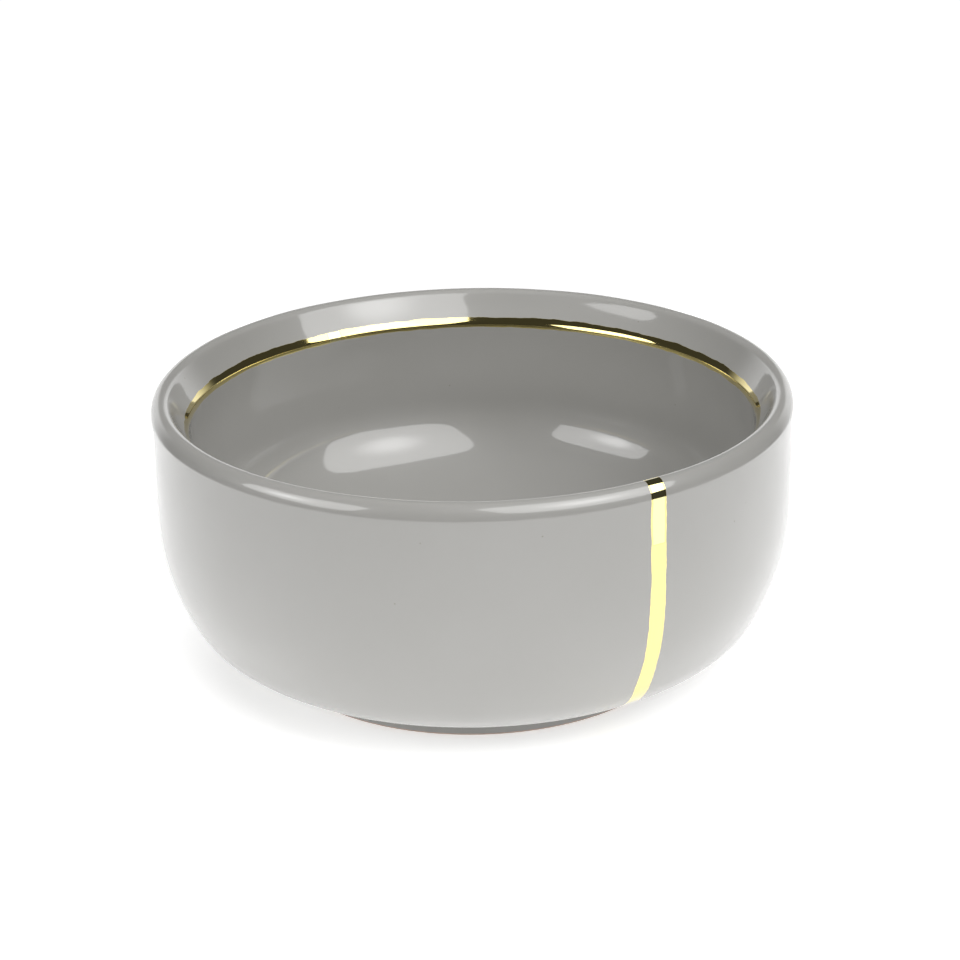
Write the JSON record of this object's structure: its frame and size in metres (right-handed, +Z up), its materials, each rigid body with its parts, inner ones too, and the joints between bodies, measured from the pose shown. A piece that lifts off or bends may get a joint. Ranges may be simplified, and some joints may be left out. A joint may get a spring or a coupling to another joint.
{
  "type": "ceramic bowl",
  "caption": "Deep round bowl in grey glazed stoneware, with a rounded lip, a sloping band and ridge inside it, painted gold lines and a low foot ring.",
  "frame": {"origin": "centre of the foot ring's underside, on the surface the bowl stands on", "axes": "+Z up along the axis of turning; the painted stripe runs down the side at about 32 degrees from -Y towards +X"},
  "size_m": [0.16, 0.16, 0.0711],
  "materials": {
    "grey_glaze": "gloss"
  },
  "bodies": {
    "root": {"bowl": "grey_glaze"}
  },
  "joints": []
}
